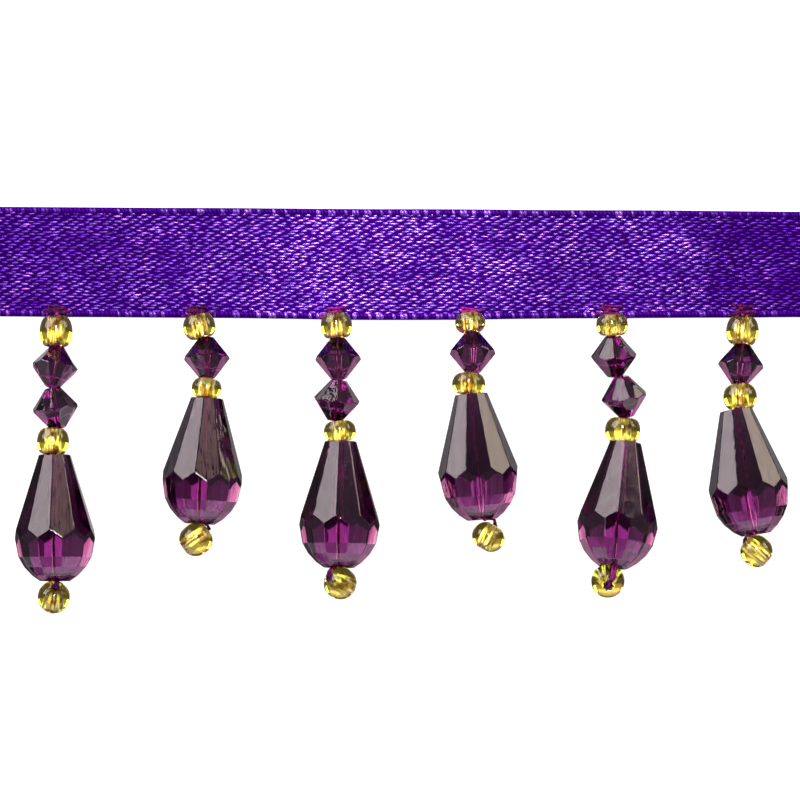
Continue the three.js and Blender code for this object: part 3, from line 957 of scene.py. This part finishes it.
def twist_thread(net, lines, size):
    """Two plies wound round each other along every line."""
    line = net.node("GeometryNodeMeshToCurve", inputs={"Mesh": lines})
    curved = net.node("GeometryNodeCurveSplineType", {"spline_type": "CATMULL_ROM"}, {"Curve": line})
    even = net.node(
        "GeometryNodeResampleCurve", {"mode": "LENGTH"}, {"Curve": curved, "Length": size["step"]}
    )
    profile = net.node(
        "GeometryNodeCurvePrimitiveCircle",
        inputs={"Resolution": size["sides"], "Radius": size["ply radius"]},
    )
    travelled = net.node("GeometryNodeSplineParameter").output("Length")
    normal = net.node("GeometryNodeInputNormal")
    tangent = net.node("GeometryNodeInputTangent")
    side = net.node("ShaderNodeVectorMath", {"operation": "CROSS_PRODUCT"}, {0: tangent, 1: normal})
    both = net.node("GeometryNodeJoinGeometry")
    for half_turn in (0.0, math.pi):
        turn = travelled / size["ply pitch"] * (2 * math.pi) + half_turn
        parts = []
        for way, operation in ((normal, "COSINE"), (side, "SINE")):
            reach = net.math(operation, turn) * size["ply offset"]
            part = net.node("ShaderNodeVectorMath", {"operation": "SCALE"}, {0: way, "Scale": reach})
            parts.append(part)
        offset = net.node("ShaderNodeVectorMath", {"operation": "ADD"}, {0: parts[0], 1: parts[1]})
        ply = net.node("GeometryNodeSetPosition", inputs={"Geometry": even, "Offset": offset})
        body = net.node(
            "GeometryNodeCurveToMesh", inputs={"Curve": ply, "Profile Curve": profile, "Fill Caps": True}
        )
        net.tree.links.new(body.socket, both.socket.node.inputs["Geometry"])
    return both


magenta_thread, net = new_material("magenta_thread")
place = net.node("ShaderNodeTexCoord").output("Object")
fuzz = net.node("ShaderNodeTexNoise", inputs={"Vector": place, "Scale": FUZZ_SCALE, "Detail": 3.0})
strand = net.eased(fuzz, *FUZZ_RANGE, 0.0, 1.0)
# Painted shade: where the thread lies in the stitches and the knot, its colour is darkened.
painted_shade = net.node("ShaderNodeAttribute", {"attribute_name": "tight"}, output="Fac")
hanging = net.mix(strand, HANGING_DARK, HANGING_LIGHT)
shaded_thread = net.mix(strand, SHADED_THREAD_DARK, SHADED_THREAD_LIGHT)
twine = net.node(
    "ShaderNodeBsdfPrincipled",
    inputs={
        "Base Color": net.mix(painted_shade, hanging, shaded_thread),
        "Roughness": THREAD_ROUGHNESS + FUZZ_ROUGHNESS * fuzz,
        "Specular IOR Level": 0.15,
    },
)
net.node("ShaderNodeOutputMaterial", inputs={"Surface": twine})


def face_point(x, up):
    """A point just above the ribbon's face, or past its lower edge where up is below zero."""
    share = max(up * MM / ribbon_width, 0.0)
    point = ribbon_face(x, share)
    point.y += min(up * MM, 0.0)
    point.z += THREAD_LIFT
    return point


def stitch_lines(drop):
    """The lines of the stitches that hold one drop to the ribbon's edge."""
    start = drop_places[drop - 1]
    wander = np.random.default_rng(drop)
    sunk = Vector((0, 0, STITCH_SUNK))
    lines = []
    for stitch in STITCHES:
        ends = []
        for end in ("from", "to"):
            along, up = wander.uniform(-STITCH_WANDER, STITCH_WANDER, 2)
            along += stitch[f"{end}_along"]
            up += stitch[f"{end}_up"]
            ends.append(face_point(start.x + along * MM, up))
        first, last = ends
        middle = (first + last) / 2 + Vector((0, 0, STITCH_RISE))
        bend = (last - first).normalized() * STITCH_BEND
        points = (first - sunk, first + bend, middle, last - bend, last - sunk)
        # Each stitch carries its drop's painted shade.
        lines.append([(point, STITCH_SHADE[drop - 1]) for point in points])
    return lines


def points_down(drop):
    """The points of one drop's thread from the ribbon's face down through its beads."""
    start = drop_places[drop - 1]
    points = [face_point(start.x + along * MM, up) for along, up in HEADING]
    for bead in ("top_seed", "bicone_1", "bicone_2", "mid_seed", "teardrop"):
        node = f"drop_{drop}_{bead}"
        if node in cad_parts:
            middle, axis, half = bead_pose(node)
            inset = BORE_INSET if bead == "teardrop" else 0.0
            points += [middle - axis * (half - inset), middle, middle + axis * (half - inset)]
    return points


def knot_points(seed, mouth, half):
    """The coils of the knot in an end seed's hole, from its mouth inwards."""
    aside = mouth.orthogonal().normalized()
    over = mouth.cross(aside)
    points = []
    for i in range(KNOT_POINTS):
        share = i / (KNOT_POINTS - 1)
        turn = 2 * math.pi * KNOT_TURNS * share
        coil = (aside * math.cos(turn) + over * math.sin(turn)) * KNOT_RADIUS
        points.append(seed + mouth * half * (KNOT_START - share) + coil)
    return points


def thread_lines(drop):
    """The lines that one drop's thread follows, as points and how much painted shade it carries there, 0 to
    1.
    """
    down = points_down(drop)
    node = f"drop_{drop}_end_seed"
    seed, hole, half = bead_pose(node)
    mouth = hole if hole.y + hole.z > 0 else -hole
    back = (down[-1] - seed).normalized()
    wrap = bead_radius(node) + SEED_CLEARANCE
    beside = back.cross(mouth).normalized() * STRAND_APART
    first = [(point, 0) for point in down]
    second = [(down[-1], 0)]
    for share in ROUND_SEED:
        point = seed + back.slerp(mouth, share) * wrap
        first.append((point, share))
        second.append((point + beside, share))
    # The strand ends and the knot in the seed's hole carry the full painted shade.
    first.append((seed + mouth * half * FIRST_STRAND_END, 1))
    second.append((seed + mouth * half * SECOND_STRAND_END, 1))
    first += [(point, 1) for point in knot_points(seed, mouth, half)]
    return stitch_lines(drop) + [second, first]


for drop in DROPS:
    shape = bmesh.new()
    shade_layer = shape.verts.layers.float.new("tight")
    for line in thread_lines(drop):
        corners = []
        for point, tight in line:
            corner = shape.verts.new(point)
            corner[shade_layer] = tight
            corners.append(corner)
        for before, after in zip(corners, corners[1:]):
            shape.edges.new((before, after))
    lines_mesh = bpy.data.meshes.new(f"thread_lines_{drop}")
    shape.to_mesh(lines_mesh)
    shape.free()
    thread = grown(
        f"sewing_thread_{drop}",
        lines_mesh,
        {
            "step": THREAD_STEP,
            "sides": PLY_SIDES,
            "ply radius": PLY_RADIUS,
            "ply offset": PLY_OFFSET,
            "ply pitch": PLY_PITCH,
        },
        twist_thread,
        magenta_thread,
    )
    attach(thread, "root")
    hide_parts(f"drop_{drop}_thread")


# Floor and studio
# A plain white paper floor under the trimming, lit a little from behind as a light table is.
# Soft boxes and strips stand round it, and what glows below the floor shows only in and through the beads.

FLOOR_HALF = 1.5
FLOOR_CELLS = 4
FLOOR_DROP = 0.02 * MM
FLOOR_GLOW = 0.9
PAPER_DARK = (0.44, 0.44, 0.44, 1)
PAPER_LIGHT = (0.47, 0.47, 0.47, 1)
PAPER_GRAIN = 0.15 / MM

floor_white, net = new_material("floor_white")
place = net.node("ShaderNodeTexCoord").output("Object")
grain = net.node("ShaderNodeTexNoise", inputs={"Vector": place, "Scale": PAPER_GRAIN, "Detail": 2.0})
paper = net.node(
    "ShaderNodeBsdfPrincipled",
    inputs={
        "Base Color": net.mix(grain, PAPER_DARK, PAPER_LIGHT),
        "Roughness": 0.8,
        "Specular IOR Level": 0.1,
        "Emission Color": (1, 1, 1, 1),
        "Emission Strength": FLOOR_GLOW,
    },
)
net.node("ShaderNodeOutputMaterial", inputs={"Surface": paper})

floor_shape = bmesh.new()
bmesh.ops.create_grid(
    floor_shape,
    x_segments=FLOOR_CELLS,
    y_segments=FLOOR_CELLS,
    size=FLOOR_HALF,
    matrix=Matrix.Translation((0, 0, -FLOOR_DROP)),
)
floor = new_piece("floor", floor_shape, [floor_white])
floor.visible_glossy = False
floor.visible_transmission = False

# The surround's glows: a sky, a patch on the near side, and a strip and a wider band below the floor.
SKY_ABOVE = 0.3
SKY_BELOW = 0.1
SKY_TOP_SHARE = 0.1
NEAR_GLOW = 1.5
STRIP_GLOW = 2.0
STRIP_ENDS_SHARE = 0.15
BAND_GLOW = 1.15
BAND_FAR_SHARE = 0.5
# Where each glow starts to change and where the change is done, along X, Y or Z of a way of length 1.
SKY_FOOT_Z = (-0.15, 0.1)
SKY_TOP_Z = (0.7, 0.92)
NEAR_SIDE_Y = (-0.4, -0.75)
NEAR_FOOT_Z = (-0.35, -0.2)
NEAR_HEAD_Z = (0.24, 0.34)
STRIP_NEAR_Y = (0.0, 0.12)
STRIP_FAR_Y = (0.26, 0.34)
STRIP_ENDS_X = (0.12, 0.28)
BAND_NEAR_Y = (0.26, 0.36)
BAND_FAR_Y = (0.45, 0.55)
BAND_ENDS_X = (0.45, 0.65)
BELOW_Z = (-0.55, -0.7)

world = bpy.data.worlds.new("studio")
bpy.context.scene.world = world
world.use_nodes = True
world.node_tree.nodes.clear()
net = Wire(world.node_tree)
toward = net.node("ShaderNodeTexCoord").output("Generated")
way_x = net.node("ShaderNodeSeparateXYZ", inputs={"Vector": toward})
way_y = way_x.output("Y")
way_z = way_x.output("Z")
sideways = net.math("ABSOLUTE", way_x)
sky = net.eased(way_z, *SKY_FOOT_Z, SKY_BELOW, SKY_ABOVE)
sky *= net.eased(way_z, *SKY_TOP_Z, 1.0, SKY_TOP_SHARE)
near = net.eased(way_y, *NEAR_SIDE_Y, 0.0, NEAR_GLOW)
near *= net.eased(way_z, *NEAR_FOOT_Z, 0.0, 1.0)
near *= net.eased(way_z, *NEAR_HEAD_Z, 1.0, 0.0)
strip = net.eased(way_y, *STRIP_NEAR_Y, 0.0, STRIP_GLOW)
strip *= net.eased(way_y, *STRIP_FAR_Y, 1.0, 0.0)
strip *= net.eased(sideways, *STRIP_ENDS_X, 1.0, STRIP_ENDS_SHARE)
band = net.eased(way_y, *BAND_NEAR_Y, 0.0, BAND_GLOW)
band *= net.eased(way_y, *BAND_FAR_Y, 1.0, BAND_FAR_SHARE)
band *= net.eased(sideways, *BAND_ENDS_X, 1.0, 0.0)
under = (strip + band) * net.eased(way_z, *BELOW_Z, 0.0, 1.0)
surround = net.node(
    "ShaderNodeBackground", inputs={"Color": (1, 1, 1, 1), "Strength": sky + near + under}
)
net.node("ShaderNodeOutputWorld", inputs={"Surface": surround})

# Each light: degrees round from the ribbon's side towards the right, degrees up, metres away, its size,
# radiance and colour, whether facets mirror it, and whether it is seen through the beads.
# The last four stand below the floor.
WHITE = (1.0, 1.0, 1.0)
LIGHTS = [
    {"name": "left_box", "round": -48, "up": 21, "away": 0.6, "wide": 0.58, "high": 0.42,
     "radiance": 6.7, "colour": (1.0, 0.87, 0.9), "mirrored": True, "through": True},
    {"name": "right_box", "round": 58, "up": 9, "away": 0.6, "wide": 0.3, "high": 0.24,
     "radiance": 6.4, "colour": (1.0, 0.82, 0.66), "mirrored": True, "through": True},
    {"name": "right_top", "round": 25, "up": 47, "away": 0.6, "wide": 0.1, "high": 0.13,
     "radiance": 2.2, "colour": (1.0, 0.64, 0.56), "mirrored": True, "through": True},
    {"name": "right_middle", "round": 39.2, "up": 27.6, "away": 0.6, "wide": 0.04, "high": 0.03,
     "radiance": 2.2, "colour": (1.0, 0.74, 0.62), "mirrored": True, "through": True},
    {"name": "overhead", "round": 0, "up": 72, "away": 0.7, "wide": 0.16, "high": 0.28,
     "radiance": 22.0, "colour": WHITE, "mirrored": True, "through": True},
    {"name": "left_strip", "round": -90, "up": 45, "away": 0.6, "wide": 0.1, "high": 0.26,
     "radiance": 2.2, "colour": WHITE, "mirrored": True, "through": True},
    {"name": "right_strip", "round": 90, "up": 45, "away": 0.6, "wide": 0.1, "high": 0.26,
     "radiance": 2.2, "colour": WHITE, "mirrored": True, "through": True},
    {"name": "left_under", "round": -69, "up": -30, "away": 0.5, "wide": 0.22, "high": 0.22,
     "radiance": 7.2, "colour": (0.55, 1.0, 0.4), "mirrored": False, "through": True},
    {"name": "right_under", "round": 69, "up": -30, "away": 0.5, "wide": 0.22, "high": 0.22,
     "radiance": 7.2, "colour": (0.55, 1.0, 0.4), "mirrored": False, "through": True},
    {"name": "left_low", "round": -134, "up": -42, "away": 0.5, "wide": 0.3, "high": 0.3,
     "radiance": 1.3, "colour": (1.0, 0.45, 0.75), "mirrored": True, "through": False},
    {"name": "right_low", "round": 134, "up": -42, "away": 0.5, "wide": 0.3, "high": 0.3,
     "radiance": 1.3, "colour": (1.0, 0.45, 0.75), "mirrored": True, "through": False},
]
for row in LIGHTS:
    data = bpy.data.lights.new(row["name"], "AREA")
    data.shape = "RECTANGLE"
    data.size = row["wide"]
    data.size_y = row["high"]
    data.energy = row["radiance"] * math.pi * row["wide"] * row["high"]
    data.color = row["colour"]
    light = bpy.data.objects.new(row["name"], data)
    bpy.context.scene.collection.objects.link(light)
    light.visible_glossy = row["mirrored"]
    light.visible_transmission = row["through"]
    turn = math.radians(row["round"])
    rise = math.radians(row["up"])
    away = Vector((math.sin(turn) * math.cos(rise), math.cos(turn) * math.cos(rise), math.sin(rise)))
    light.location = away * row["away"]
    light.rotation_euler = away.to_track_quat("Z", "Y").to_euler()


# Camera
# Straight above the trimming, which lies face up, with a long lens and the ribbon level in the picture.

PHOTO_PIXELS = 800
PIXELS_PER_MM = 10.8
PICTURE_WIDE = PHOTO_PIXELS / PIXELS_PER_MM * MM
SENSOR_WIDE = 36.0
CAMERA_AWAY = 0.6
NEAREST_SEEN = 0.01
CENTRE_BELOW_RIBBON_TOP = 17.94 * MM
BEAD_LEVEL = 2.0 * MM

camera_data = bpy.data.cameras.new("camera")
camera_data.sensor_width = SENSOR_WIDE
camera_data.lens = SENSOR_WIDE * CAMERA_AWAY / PICTURE_WIDE
camera_data.clip_start = NEAREST_SEEN
camera = bpy.data.objects.new("camera", camera_data)
bpy.context.scene.collection.objects.link(camera)
camera.location = (0, cad_high[1] - CENTRE_BELOW_RIBBON_TOP, CAMERA_AWAY + BEAD_LEVEL)
bpy.context.scene.camera = camera
bpy.context.scene.view_settings.view_transform = "Standard"
